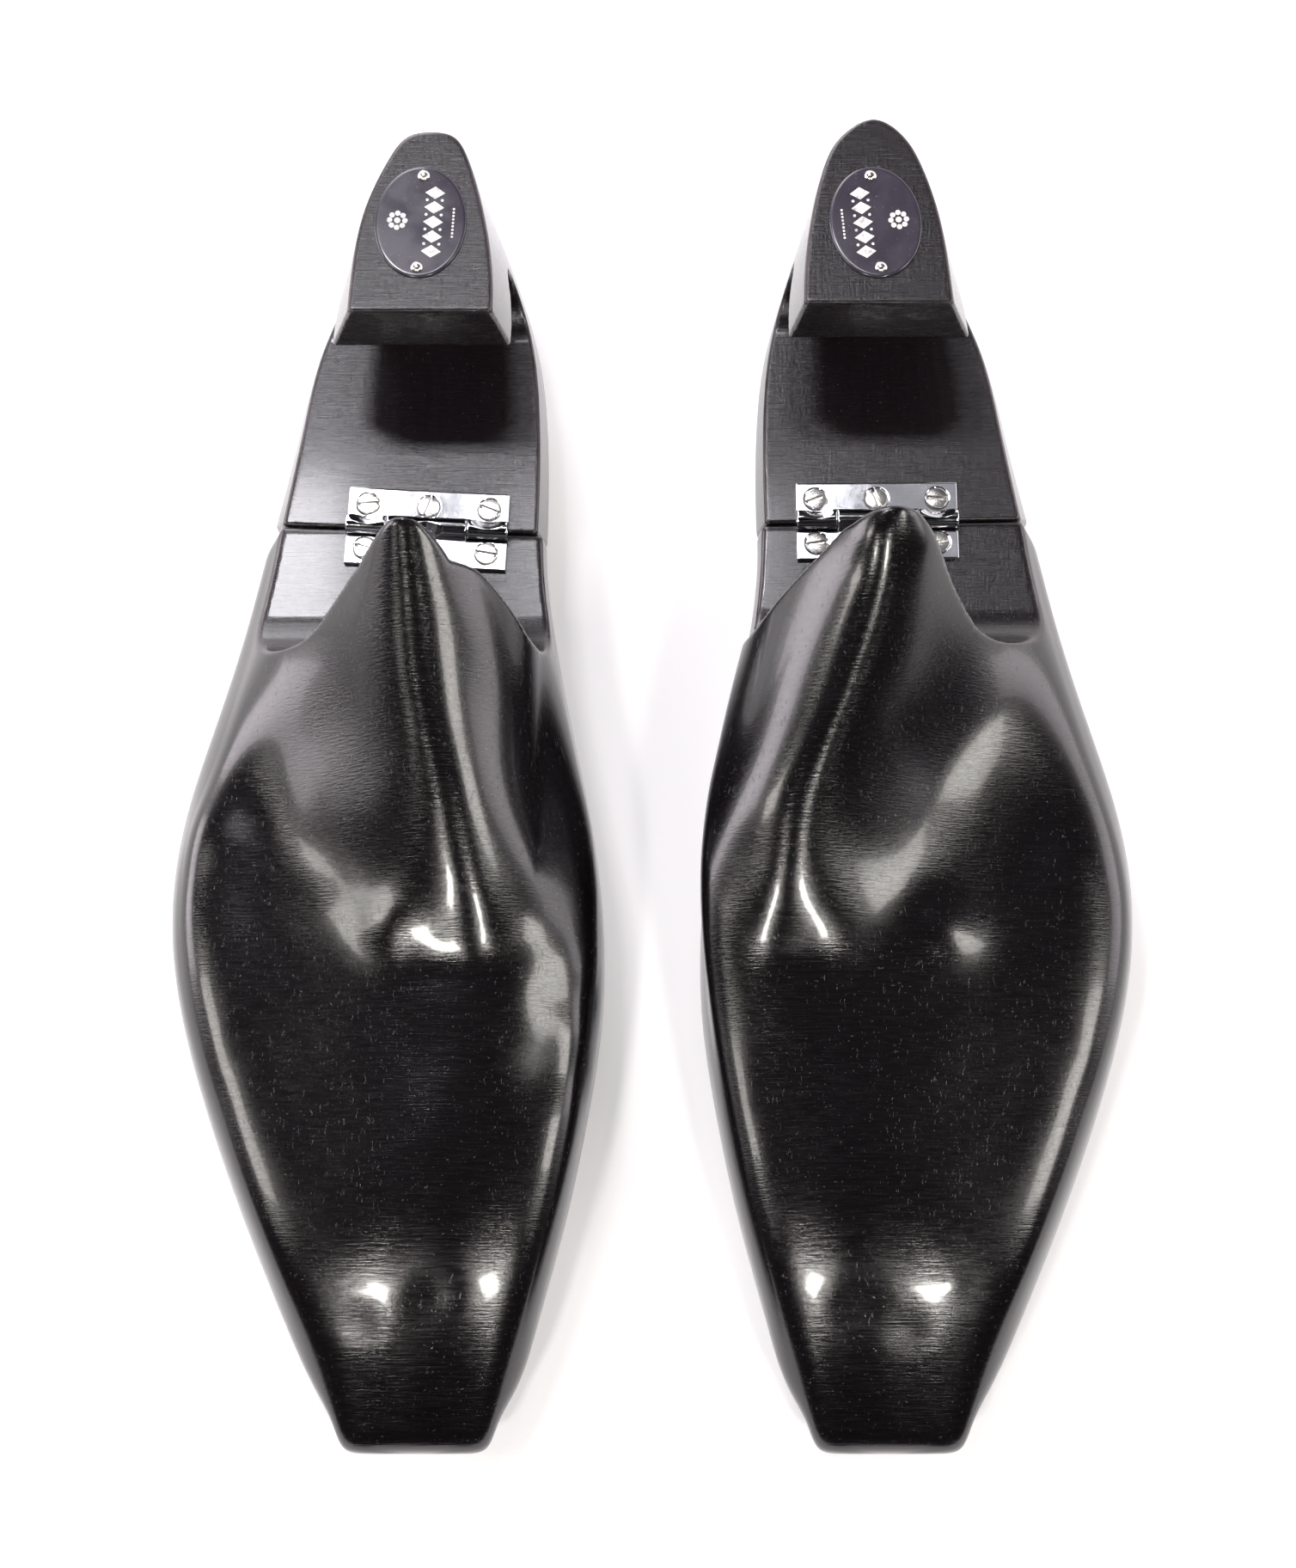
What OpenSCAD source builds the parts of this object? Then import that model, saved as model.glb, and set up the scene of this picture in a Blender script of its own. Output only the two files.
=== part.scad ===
// A pair of hinged wooden shoe trees, one for each foot.
// Frame: +Z up, +Y from toe to heel, origin under the middle of the pair on the surface it rests on.
// Each tree is drawn once as a left foot on the +X side, and mirrored for the right foot.
// In a tree's own sections, s runs across the tree: positive to the outer side, negative to the inner side.

/* [Pair] */
// Distance from the middle of the pair to each tree's own centre line
tree_x = 54; // [50:1:60]
// Gap between the sawn end faces of the forepart and the heel block
joint_gap = 0.4; // [0.3:0.1:0.8]
// How far back the left tree was sawn, from the usual place of the cut and the cut-out
left_shift = 1; // [-2:0.5:2]
// How far back the right tree was sawn
right_shift = -1; // [-2:0.5:2]
// Turn of the left hinge about the vertical, as it was screwed on
left_hinge_yaw = 0.5; // [-3:0.5:3]
// Turn of the right hinge about the vertical, seen on the mirrored tree
right_hinge_yaw = 3; // [-3:0.5:3]
// Turn of the left saw cut about the vertical
left_joint_yaw = 1; // [-3:0.5:3]
// Turn of the right saw cut about the vertical, seen on the mirrored tree
right_joint_yaw = 2; // [-3:0.5:3]
// How far the left cone leans to the outer side (+) or the inner side (-)
left_lean = -6.5; // [-7:0.5:7]
// How far the right cone leans to the outer side (+) or the inner side (-)
right_lean = 7; // [-7:0.5:7]

/* [Hand cut-out] */
// Height of the ledge and the plate, the floor of the cut-out
floor_z = 32; // [30:0.5:34]
// Radius of both round ends of the cut-out
scoop_r = 12; // [11:0.5:12]
// Centre of the front round end
scoop_front_y = 42; // [41:0.5:43]
// Centre of the rear round end
scoop_rear_y = 110.5; // [109:0.5:111]
// Slope of the cone's back face above the front round end
cone_slope = 52; // [48:1:55]
// Where the cone's nose is cut off square
nose_y = 51; // [49:0.5:52]
// Slope of the heel block's underside, down towards the back
lip_slope = 15; // [10:1:20]
// Front face of the heel block
lip_y = 98; // [97:0.5:99]

/* [Heel block] */
// Height of the flat top of the heel block
top_z = 78; // [76:0.5:80]
// Height of the widest outline of the heel
heel_waist_z = 22; // [20:1:24]

/* [Hinge] */
// Usual place of the hinge pin and the saw cut along the tree
hinge_y = 63; // [62:0.5:64]
// Length of the hinge along its pin
hinge_l = 38; // [36:1:40]
// Width of the open hinge, over both leaves
hinge_w = 19; // [18:0.5:20]
// Thickness of a leaf
leaf_t = 1.4; // [1.2:0.1:1.5]
// Outer radius of the knuckles
knuckle_r = 2.3; // [2.2:0.1:2.4]
// Radius of the hinge pin
pin_r = 1.2; // [1.1:0.05:1.3]
// Running clearance of the pin in the middle knuckle
pin_clearance = 0.05; // [0.03:0.01:0.08]
// Distance from a leaf's middle screw to its outer screws
screw_pitch = 14.3; // [13.5:0.1:14.5]
// Distance from the pin to a row of screws
screw_offset = 5.5; // [5.3:0.1:5.8]
// Radius of a screw's head
screw_head_r = 2.6; // [2.4:0.1:2.7]
// Radius of a screw's shank
screw_shank_r = 1.3; // [1.2:0.05:1.4]
// Length of a screw below the leaf
screw_l = 12; // [10:1:14]

/* [Badge] */
// Width of the oval badge
badge_w = 21; // [19:0.5:22]
// Length of the oval badge
badge_l = 27.5; // [26:0.5:28]
// Thickness of the badge at its rim
badge_t = 0.7; // [0.6:0.1:1]
// Place of the badge's centre along the tree
badge_y = 119; // [118:0.5:120]
// Distance between the badge's two pins
badge_pin_pitch = 22.6; // [22:0.2:23]
// Radius of a badge pin's head
badge_pin_r = 1.5; // [1.3:0.1:1.6]
// Place of the left badge across the tree, towards the outer side
left_badge_s = -3.6; // [-4:0.2:0]
// Place of the right badge across the tree, towards the outer side
right_badge_s = -1.6; // [-4:0.2:0]
// Turn of the left badge about the vertical
left_badge_yaw = 5; // [-6:1:6]
// Turn of the right badge about the vertical, seen on the mirrored tree
right_badge_yaw = 3; // [-6:1:6]

/* [Hidden] */

$fn = 48;

lacquer = [0.11, 0.10, 0.11];
sawn = [0.16, 0.14, 0.15];
metal = [0.80, 0.81, 0.83];
badge_colour = [0.20, 0.18, 0.22];

hinge_s = -1;
pin_z = floor_z + knuckle_r + 0.1;
knuckle_l = hinge_l / 4;
knuckle_gap = 0.15;
pilot_clearance = 0.02;
notch_places = [-33, 38];
notch_w = 7;
slot_w = 0.7;
slot_depth = 0.5;
front_slots = [8, -12, 15];
rear_slots = [20, -70, -6];
lean_y = -15;
lean_spread = 45;
lean_low_z = 30;
lean_high_z = 44;
badge_pin_shank_r = 0.6;
badge_pin_l = 5.3;
far = 200;

function pin_y(side) = hinge_y + (side == "left" ? left_shift : right_shift);
function hinge_yaw(side) = side == "left" ? left_hinge_yaw : right_hinge_yaw;
function joint_yaw(side) = side == "left" ? left_joint_yaw : right_joint_yaw;

// --- Shape of the forepart: lines that run from the toe to the hinge ---

// Height of the sole's middle line: [y, z]; it dips under 0 where the flat treads are cut
sole_line = [
    [-150, 8], [-130, 6.5], [-105, 4], [-80, 1.2], [-62, -0.7], [-45, -1],
    [-28, -0.3], [-10, 2.2], [10, 5.5], [30, 7.4], [50, 6.5], [68, 3], [84, -0.2], [100, -1]
];

// Edge of the sole: [y, inner s, outer s]
feather_line = [
    [-150, -14.5, 12.5], [-137, -19.5, 17], [-115, -26, 27], [-99, -30, 33.5], [-76, -34.5, 42],
    [-50, -38.5, 49], [-28, -37.5, 51], [-10, -34, 48.5], [10, -28, 43], [30, -23, 37], [50, -21, 32.5],
    [70, -21.5, 29.5]
];

// Widest line of the walls: [y, inner s, outer s, z]
bulge_line = [
    [-150, -17.5, 15.5, 13.5], [-143, -19.7, 17.5, 15], [-137, -23, 20.8, 16.3], [-122, -28.3, 28.2, 17.8],
    [-99, -34.4, 38.1, 18], [-76, -39.2, 46.9, 18], [-52, -42.6, 53.9, 18], [-28, -42.3, 57, 18],
    [-4, -38.9, 54.6, 19], [21, -33.8, 47.6, 20], [38, -30.8, 42.8, 21], [56, -28.8, 38.6, 22],
    [70, -29.2, 35.4, 22]
];

// Top of the steep wall: [y, inner s, inner z, outer s, outer z]
edge_line = [
    [-150, -16.4, 16.4, 14.4, 16.4], [-137, -21.4, 21.5, 19.2, 21.5], [-115, -28.9, 27, 29.3, 26.5],
    [-76, -38.3, 29.5, 45, 28], [-38, -42.2, 30.5, 54.9, 28.5], [-10, -39.8, 31, 53.2, 28.5],
    [10, -35.7, 31, 47.6, 28.5], [30, -31.7, 31, 42, 28.5], [50, -28.9, 30, 37.5, 28.5],
    [70, -28.5, 29, 34, 29]
];

// Shoulder between wall and top: [y, inner s, inner z, outer s, outer z]
shoulder_line = [
    [-150, -13.5, 17.9, 11.5, 17.9], [-137, -18, 24, 15.5, 23.8], [-115, -25.5, 31.2, 25.8, 30.6],
    [-76, -35.5, 34.8, 40.5, 32.8], [-38, -40.4, 36.6, 50, 33.6], [-10, -37.8, 38.5, 47.8, 33.8],
    [10, -34.8, 39, 42, 34.4], [30, -31.5, 39, 37.4, 35], [50, -28.6, 36, 34.8, 33.2],
    [70, -27.6, 34, 31.5, 33.5]
];

// Line on the lower flank: [y, inner s, inner z, outer s, outer z]
flank_line = [
    [-150, -9.5, 18.3, 7.5, 18.3], [-137, -12.5, 25, 10, 24.8], [-115, -18, 33.6, 17, 33.1],
    [-76, -28.5, 37.8, 27, 35.8], [-38, -36, 41, 34, 36.6], [-10, -33, 46, 27, 38.4],
    [10, -30, 48.5, 25, 42], [30, -28.5, 50, 25.5, 46.5], [50, -27, 50, 25, 48], [70, -26, 50, 22, 48]
];

// Line on the upper flank: [y, inner s, inner z, outer s, outer z]
upper_line = [
    [-150, -5, 18.5, 3, 18.5], [-137, -7, 25.4, 4.5, 25.3], [-115, -10, 34.8, 6.5, 34.6],
    [-76, -18, 39.8, 10, 38.6], [-55, -24, 41.6, 11, 39.6], [-38, -28, 44.5, 9, 41.2],
    [-25, -27.5, 48.5, 4, 45.2], [-10, -24, 54, 3, 49.6], [10, -19.5, 58.8, 7, 54],
    [30, -15.5, 64.5, 11, 60.5], [50, -10, 72, 10.5, 68.5], [70, -7, 80, 9, 76]
];

// Ridge of the cone, which fades into the toe: [y, s, z]
ridge_line = [
    [-150, -1, 18.6], [-137, -1.5, 25.6], [-125, -1.8, 31.2], [-115, -2, 35], [-105, -2.5, 37.4],
    [-95, -3.5, 38.9], [-76, -6.5, 40.6], [-55, -13, 42.4], [-40, -17.5, 46], [-25, -17, 52],
    [-10, -13.5, 57.2], [10, -7, 63.2], [30, -2, 69.8], [50, 1, 77.8], [70, 2, 86]
];

// --- Shape of the heel block: outlines at three heights, from the inner front round the back ---

// Outline of the seat: [s, y]
seat_outline = [
    [-16, 50], [-17.5, 70], [-21, 90], [-22, 107], [-19.5, 122], [-15.5, 134], [-10.5, 142.5],
    [-3.6, 147], [3.5, 142.5], [9.5, 134], [15.5, 122], [21.5, 107], [24.5, 90], [26, 70], [27, 50]
];

// Widest outline: [s, y]
waist_outline = [
    [-28.6, 50], [-29.2, 70], [-29, 88], [-27.2, 107], [-23.2, 123], [-18.5, 136], [-12.5, 145],
    [-3.6, 150], [5.5, 145], [12.8, 136], [20, 123], [27.3, 107], [31.6, 88], [35.4, 70], [40, 50]
];

// Outline of the left tree's flat top, blunt-pointed at the back: [s, y]
left_top_outline = [
    [-17, 50], [-18.4, 70], [-19.6, 90], [-19.8, 106], [-17.8, 122], [-14.2, 135.5], [-10.4, 141.3],
    [-3.4, 145], [2.8, 141.3], [6.4, 135.5], [10.7, 122], [13, 106], [14.2, 90], [14, 70], [12, 50]
];

// Outline of the right tree's flat top, squarer at the back: [s, y]
right_top_outline = [
    [-15.5, 50], [-16.5, 70], [-17.6, 90], [-18, 106], [-15.8, 122], [-12.2, 135], [-8.8, 140.6],
    [-3.6, 141.8], [1.8, 140.6], [6, 135], [11.3, 122], [13.8, 106], [14.6, 90], [14, 70], [12, 50]
];

// --- Curves ---

// Index of the table row that starts the span holding y
function span(table, y, i = 0) = i >= len(table) - 2 || y < table[i + 1][0] ? i : span(table, y, i + 1);

// Slope of a column at row i, from its neighbours
function slope(table, i, col) =
    let (a = max(i - 1, 0), b = min(i + 1, len(table) - 1))
    (table[b][col] - table[a][col]) / (table[b][0] - table[a][0]);

// Smooth value of a column at y
function at(table, y, col) =
    let (
        i = span(table, y),
        h = table[i + 1][0] - table[i][0],
        u = (y - table[i][0]) / h,
        p = table[i][col],
        q = table[i + 1][col],
        m = slope(table, i, col) * h,
        n = slope(table, i + 1, col) * h
    )
    p + u * (m + u * (3 * (q - p) - 2 * m - n + u * (2 * (p - q) + m + n)));

// Point on the curve from b to c, where a and d are the points before and after
function blend(a, b, c, d, u) =
    let (
        ab = sqrt(norm(b - a)),
        bc = sqrt(norm(c - b)),
        cd = sqrt(norm(d - c)),
        m = (c - b) + bc * ((b - a) / ab - (c - a) / (ab + bc)),
        n = (c - b) + bc * ((d - c) / cd - (d - b) / (bc + cd))
    )
    b + u * (m + u * (3 * (c - b) - 2 * m - n + u * (2 * (b - c) + m + n)));

// Points along an open curve through the given points
function curve(points, steps) =
    let (
        last = len(points) - 1,
        p = concat([2 * points[0] - points[1]], points, [2 * points[last] - points[last - 1]])
    )
    [
        for (i = [0 : last - 1], k = [0 : steps - 1]) blend(p[i], p[i + 1], p[i + 2], p[i + 3], k / steps),
        points[last]
    ];

// --- Forepart loft: closed rings across the tree ---

section_steps = 5;
sole_steps = 8;
toe_round_l = 7;
toe_round_y = -150 + toe_round_l;
toe_centre = [-1, 13.5];
ring_pitch = 4.5;
front_rings = concat(
    [70],
    [for (k = [45 : -1 : 0]) toe_round_y + k * ring_pitch],
    [for (a = [20, 38, 54, 68, 80]) toe_round_y - toe_round_l * sin(a)]
);

// Share of the width that is left inside the toe's rounded end
function toe_share(y) = y >= toe_round_y ? 1 : cos(asin((toe_round_y - y) / toe_round_l));

function table_point(table, y, col) = [at(table, y, col), at(table, y, col + 1)];

// Sideways lean of the cone at y and z: most at its foot, none at the walls and the toe
function cone_lean(side, y, z) =
    let (up = max(0, min(1, (z - lean_low_z) / (lean_high_z - lean_low_z))))
    (side == "left" ? left_lean : right_lean) * exp(-pow((y - lean_y) / lean_spread, 2)) * up * up * (3 - 2 * up);

function section(side, y) = let (
        sole = at(sole_line, y, 1),
        upper = [
            [at(feather_line, y, 1), sole + 1.5],
            [at(bulge_line, y, 1), at(bulge_line, y, 3)],
            table_point(edge_line, y, 1),
            table_point(shoulder_line, y, 1),
            table_point(flank_line, y, 1),
            table_point(upper_line, y, 1),
            table_point(ridge_line, y, 1),
            table_point(upper_line, y, 3),
            table_point(flank_line, y, 3),
            table_point(shoulder_line, y, 3),
            table_point(edge_line, y, 3),
            [at(bulge_line, y, 2), at(bulge_line, y, 3)],
            [at(feather_line, y, 2), sole + 1.5]
        ],
        first = upper[0],
        last = upper[12],
        ring = concat(
            curve(upper, section_steps),
            [
                for (k = [1 : sole_steps - 1])
                let (u = k / sole_steps, s = last[0] + (first[0] - last[0]) * u)
                [s, sole + 1.5 * pow(abs(2 * u - 1), 2)]
            ]
        ),
        share_s = pow(toe_share(y), 0.8),
        share_z = pow(toe_share(y), 0.7)
    )
    [for (p = ring) [
        toe_centre[0] + (p[0] - toe_centre[0]) * share_s + cone_lean(side, y, p[1]),
        y,
        toe_centre[1] + (p[1] - toe_centre[1]) * share_z
    ]];

// Closed body through a stack of rings of equal length
module loft(rings) {
    n = len(rings[0]);
    m = len(rings);
    walls = [
        for (i = [0 : m - 2], j = [0 : n - 1], half = [0, 1])
        let (a = i * n + j, b = i * n + (j + 1) % n)
        half == 0 ? [a, b, b + n] : [a, b + n, a + n]
    ];
    first_cap = [for (j = [n - 1 : -1 : 0]) j];
    last_cap = [for (j = [0 : n - 1]) (m - 1) * n + j];
    polyhedron(points = [for (ring = rings) each ring], faces = concat([first_cap, last_cap], walls));
}

// --- Heel loft: closed level outlines, one above the other ---

outline_steps = 4;
low_levels = [0, 1, 3, 7, 12, 17];
high_levels = [heel_waist_z, 27, 34, 41, 49, 58, 68, top_z];

function mix(a, b, share) = [for (i = [0 : len(a) - 1]) a[i] + (b[i] - a[i]) * share];

function heel_ring(side, z) = let (
        low = pow(1 - pow(1 - z / heel_waist_z, 1.6), 0.8),
        rise = (z - heel_waist_z) / (top_z - heel_waist_z),
        high = rise * (0.82 + 0.36 * rise - 0.18 * rise * rise),
        outline = z < heel_waist_z
            ? mix(seat_outline, waist_outline, low)
            : mix(waist_outline, side == "left" ? left_top_outline : right_top_outline, high)
    )
    [for (p = curve(outline, outline_steps)) [p[0], p[1], z]];

// --- Cuts shared by both halves ---

// Side profile of the cut-out, in y and z
module cutout_profile() {
    cone_a = 90 + cone_slope;
    cone_start = [scoop_front_y, floor_z + scoop_r] + scoop_r * [cos(cone_a), sin(cone_a)];
    lip_a = 90 - lip_slope;
    lip_start = [scoop_rear_y, floor_z + scoop_r] + scoop_r * [cos(lip_a), sin(lip_a)];
    lip_z = lip_start[1] + (lip_start[0] - lip_y) * tan(lip_slope);
    rise = 60;
    for (y = [scoop_front_y, scoop_rear_y]) translate([y, floor_z + scoop_r]) circle(scoop_r, $fn = 120);
    polygon([
        [scoop_front_y, floor_z],
        [scoop_rear_y, floor_z],
        [scoop_rear_y, floor_z + scoop_r],
        lip_start,
        [lip_y, lip_z],
        [lip_y + 1, top_z + rise],
        [nose_y, top_z + rise],
        [nose_y, cone_start[1] + (nose_y - cone_start[0]) * tan(cone_slope)],
        cone_start,
        [scoop_front_y, floor_z + scoop_r]
    ]);
}

module cutout(side) {
    translate([0, pin_y(side) - hinge_y, 0]) rotate([90, 0, 90])
        linear_extrude(far, center = true) cutout_profile();
}

// Half space in front of (-1) or behind (+1) the saw cut, less half the gap
module beyond_joint(side, way) {
    translate([0, pin_y(side), 0]) rotate([0, 0, joint_yaw(side)])
        translate([-far / 2, way > 0 ? -joint_gap / 2 : joint_gap / 2 - far, -10]) cube([far, far, far]);
}

// V notches at both ends of the saw cut
module joint_notches(side) {
    for (s = notch_places)
        translate([0, pin_y(side), 0]) rotate([0, 0, joint_yaw(side)]) translate([s, 0, -10])
            rotate([0, 0, 45]) cube([notch_w, notch_w, far], center = true);
}

// Hinge frame: x along the pin, origin on the pin's middle
module at_hinge(side) {
    translate([hinge_s, pin_y(side), pin_z]) rotate([0, 0, hinge_yaw(side)]) children();
}

// Badge frame: origin on the flat top, under the badge's middle
module at_badge(side) {
    translate([side == "left" ? left_badge_s : right_badge_s, badge_y, top_z])
        rotate([0, 0, side == "left" ? left_badge_yaw : right_badge_yaw]) children();
}

// Badge pin frame: origin on the flat top, under the front (-1) or the back (+1) pin
module at_badge_pin(side, end) {
    at_badge(side) translate([0, end * badge_pin_pitch / 2, 0]) children();
}

// Pilot hole in the wood for one screw
module pilot(way, i) {
    translate([(i - 2) * screw_pitch, way * screw_offset, floor_z - pin_z - screw_l - 0.5])
        cylinder(r = screw_shank_r + pilot_clearance, h = screw_l + 1);
}

// --- Sub-parts of one tree ---

// The resize leaves every size as it is: it hands the sculpted body on as one mesh, ready for drilling
module forepart_body(side) {
    resize([0, 0, 0]) difference() {
        loft([for (y = front_rings) section(side, y)]);
        translate([-far / 2, -far, -far]) cube([far, 2 * far, far]);
        beyond_joint(side, 1);
        cutout(side);
        joint_notches(side);
    }
}

module heel_block_body(side) {
    resize([0, 0, 0]) difference() {
        loft([for (z = concat(low_levels, high_levels)) heel_ring(side, z)]);
        arch_cut();
        beyond_joint(side, -1);
        cutout(side);
        joint_notches(side);
    }
}

module forepart(side) {
    color(lacquer) difference() {
        forepart_body(side);
        at_hinge(side) for (i = [1 : 3]) pilot(-1, i);
    }
}

module heel_block(side) {
    color(sawn) difference() {
        heel_block_body(side);
        at_hinge(side) for (i = [1 : 3]) pilot(1, i);
        for (end = [-1, 1]) at_badge_pin(side, end) translate([0, 0, -badge_pin_l - 0.5])
            cylinder(r = badge_pin_shank_r + pilot_clearance, h = badge_pin_l + 2);
    }
}

// Hollow of the waist under the front of the heel block
module arch_cut() {
    rotate([90, 0, 90]) linear_extrude(far, center = true) polygon(concat(
        [[40, -10]],
        [for (y = [40 : 4 : 84]) [y, at(sole_line, y, 1)]],
        [[84, -10]]
    ));
}

// One leaf: its plate on the wood, and the knuckles that it carries
module leaf(way, knuckles) {
    reach = hinge_w / 2;
    base = floor_z - pin_z;
    color(metal) difference() {
        union() {
            for (k = knuckles) translate([k[0], 0, 0]) {
                rotate([0, 90, 0]) cylinder(r = knuckle_r, h = k[1]);
                translate([0, way > 0 ? 0 : -knuckle_r - 1, base]) cube([k[1], knuckle_r + 1, leaf_t]);
            }
            translate([-hinge_l / 2, way > 0 ? knuckle_r + 0.3 : -reach, base])
                cube([hinge_l, reach - knuckle_r - 0.3, leaf_t]);
        }
        translate([-hinge_l, 0, 0]) rotate([0, 90, 0])
            cylinder(r = way > 0 ? pin_r : pin_r + pin_clearance, h = 2 * hinge_l);
        for (i = [1 : 3]) translate([(i - 2) * screw_pitch, way * screw_offset, base]) {
            translate([0, 0, -1]) cylinder(r = screw_shank_r + 0.15, h = 4);
            translate([0, 0, leaf_t - screw_head_r + screw_shank_r])
                cylinder(r1 = screw_shank_r + 0.02, r2 = screw_head_r + 0.52, h = screw_head_r - screw_shank_r + 0.5);
        }
    }
}

module front_leaf(side) {
    at_hinge(side) leaf(-1, [[-knuckle_l + knuckle_gap / 2, 2 * knuckle_l - knuckle_gap]]);
}

module rear_leaf(side) {
    at_hinge(side) leaf(1, [
        [-hinge_l / 2, knuckle_l - knuckle_gap / 2],
        [knuckle_l + knuckle_gap / 2, knuckle_l - knuckle_gap / 2]
    ]);
}

module hinge_pin(side) {
    color(metal) at_hinge(side) rotate([0, 90, 0])
        cylinder(r = pin_r, h = hinge_l - 0.4, center = true);
}

// Slotted countersunk screw number i of the front (-1) or rear (+1) leaf
module screw(side, way, i) {
    cone_h = screw_head_r - screw_shank_r;
    slot_turn = way < 0 ? front_slots[i - 1] : rear_slots[i - 1];
    color(metal) at_hinge(side)
        translate([(i - 2) * screw_pitch, way * screw_offset, floor_z - pin_z + leaf_t]) difference() {
            union() {
                translate([0, 0, -cone_h]) cylinder(r1 = screw_shank_r, r2 = screw_head_r, h = cone_h);
                cylinder(r = screw_head_r, h = 0.2);
                translate([0, 0, -leaf_t - screw_l]) cylinder(r = screw_shank_r, h = screw_l + leaf_t - cone_h + 0.1);
            }
            rotate([0, 0, slot_turn]) translate([-screw_head_r - 1, -slot_w / 2, -slot_depth])
                cube([2 * screw_head_r + 2, slot_w, slot_depth + 1]);
        }
}

// Flat oval badge
module badge(side) {
    steps = 72;
    color(badge_colour) difference() {
        at_badge(side) linear_extrude(badge_t) polygon([
            for (k = [0 : steps - 1]) [badge_w / 2 * cos(k * 360 / steps), badge_l / 2 * sin(k * 360 / steps)]
        ]);
        for (end = [-1, 1]) at_badge_pin(side, end) translate([0, 0, -1])
            cylinder(r = badge_pin_shank_r + pilot_clearance, h = 3);
    }
}

// Domed pin at the front (-1) or the back (+1) of the badge
module badge_pin(side, end) {
    dome_h = 0.9;
    dome_r = (badge_pin_r * badge_pin_r + dome_h * dome_h) / (2 * dome_h);
    color(metal) at_badge_pin(side, end) {
        translate([0, 0, badge_t]) intersection() {
            translate([0, 0, dome_h - dome_r]) sphere(dome_r);
            cylinder(r = badge_pin_r + 0.1, h = dome_h + 0.1);
        }
        translate([0, 0, -badge_pin_l]) cylinder(r = badge_pin_shank_r, h = badge_pin_l + badge_t + 0.2);
    }
}

// --- Placing ---

// Puts one tree's part in its place: the right tree is the left one's mirror image
module placed(side) {
    mirror([side == "left" ? 0 : 1, 0, 0]) translate([tree_x, 0, 0]) children();
}

for (side = ["right", "left"]) {
    placed(side) forepart(side);
    placed(side) heel_block(side);
    placed(side) front_leaf(side);
    placed(side) rear_leaf(side);
    placed(side) hinge_pin(side);
    for (i = [1 : 3]) {
        placed(side) screw(side, -1, i);
        placed(side) screw(side, 1, i);
    }
    placed(side) badge(side);
    placed(side) badge_pin(side, -1);
    placed(side) badge_pin(side, 1);
}
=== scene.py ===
"""A pair of black hinged wooden shoe trees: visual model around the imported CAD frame.

Wood is built as implicit solids in millimetres, in a left tree's own coordinates (s across, y along, z up),
and mirrored for the right tree. Everything is put into the scene in metres, in the row's frame.
"""
import math

import bpy
import numpy as np
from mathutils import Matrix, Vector


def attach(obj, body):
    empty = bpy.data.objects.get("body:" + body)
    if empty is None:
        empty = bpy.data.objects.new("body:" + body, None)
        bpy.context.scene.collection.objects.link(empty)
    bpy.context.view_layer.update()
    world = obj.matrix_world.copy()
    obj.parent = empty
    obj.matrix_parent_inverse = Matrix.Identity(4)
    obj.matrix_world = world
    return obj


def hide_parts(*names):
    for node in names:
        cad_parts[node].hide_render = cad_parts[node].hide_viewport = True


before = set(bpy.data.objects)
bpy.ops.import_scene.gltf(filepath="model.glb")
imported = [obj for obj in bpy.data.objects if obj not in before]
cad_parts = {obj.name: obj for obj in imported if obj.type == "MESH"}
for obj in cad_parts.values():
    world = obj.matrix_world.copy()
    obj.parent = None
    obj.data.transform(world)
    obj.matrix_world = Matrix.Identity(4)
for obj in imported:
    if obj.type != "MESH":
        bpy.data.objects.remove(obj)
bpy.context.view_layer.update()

MM = 0.001
FOREPART_VOXEL = 0.8
HEEL_VOXEL = 0.62
METAL_VOXEL = 0.18
SCREW_VOXEL = 0.15
BADGE_VOXEL = 0.2
BADGE_PIN_VOXEL = 0.14

# Driving sizes in millimetres, the same as the CAD model's
TREE_X = 54
HINGE_Y = 63
JOINT_GAP = 0.4
FLOOR_Z = 32
SCOOP_R = 12
SCOOP_FRONT_Y = 42
SCOOP_REAR_Y = 110.5
CONE_SLOPE = math.radians(52)
NOSE_Y = 51
LIP_SLOPE = math.radians(15)
LIP_Y = 98
TOP_Z = 78
WAIST_Z = 22
TOE_Y = -149.85

HINGE_S = -1
HINGE_L = 38
HINGE_W = 19
LEAF_T = 1.4
KNUCKLE_R = 2.3
PIN_R = 1.2
PIN_Z = FLOOR_Z + KNUCKLE_R + 0.1
SCREW_PITCH = 14.3
SCREW_OFFSET = 5.5
SCREW_HEAD_R = 2.6
SCREW_SHANK_R = 1.3
SCREW_L = 12
BADGE_W = 21
BADGE_L = 27.5
BADGE_T = 0.66
BADGE_Y = 119
BADGE_PIN_PITCH = 22.6
BADGE_PIN_R = 1.5
BADGE_PIN_L = 5.3
NOTCH_S = (-33, 38)
NOTCH_REACH = 4.95

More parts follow.
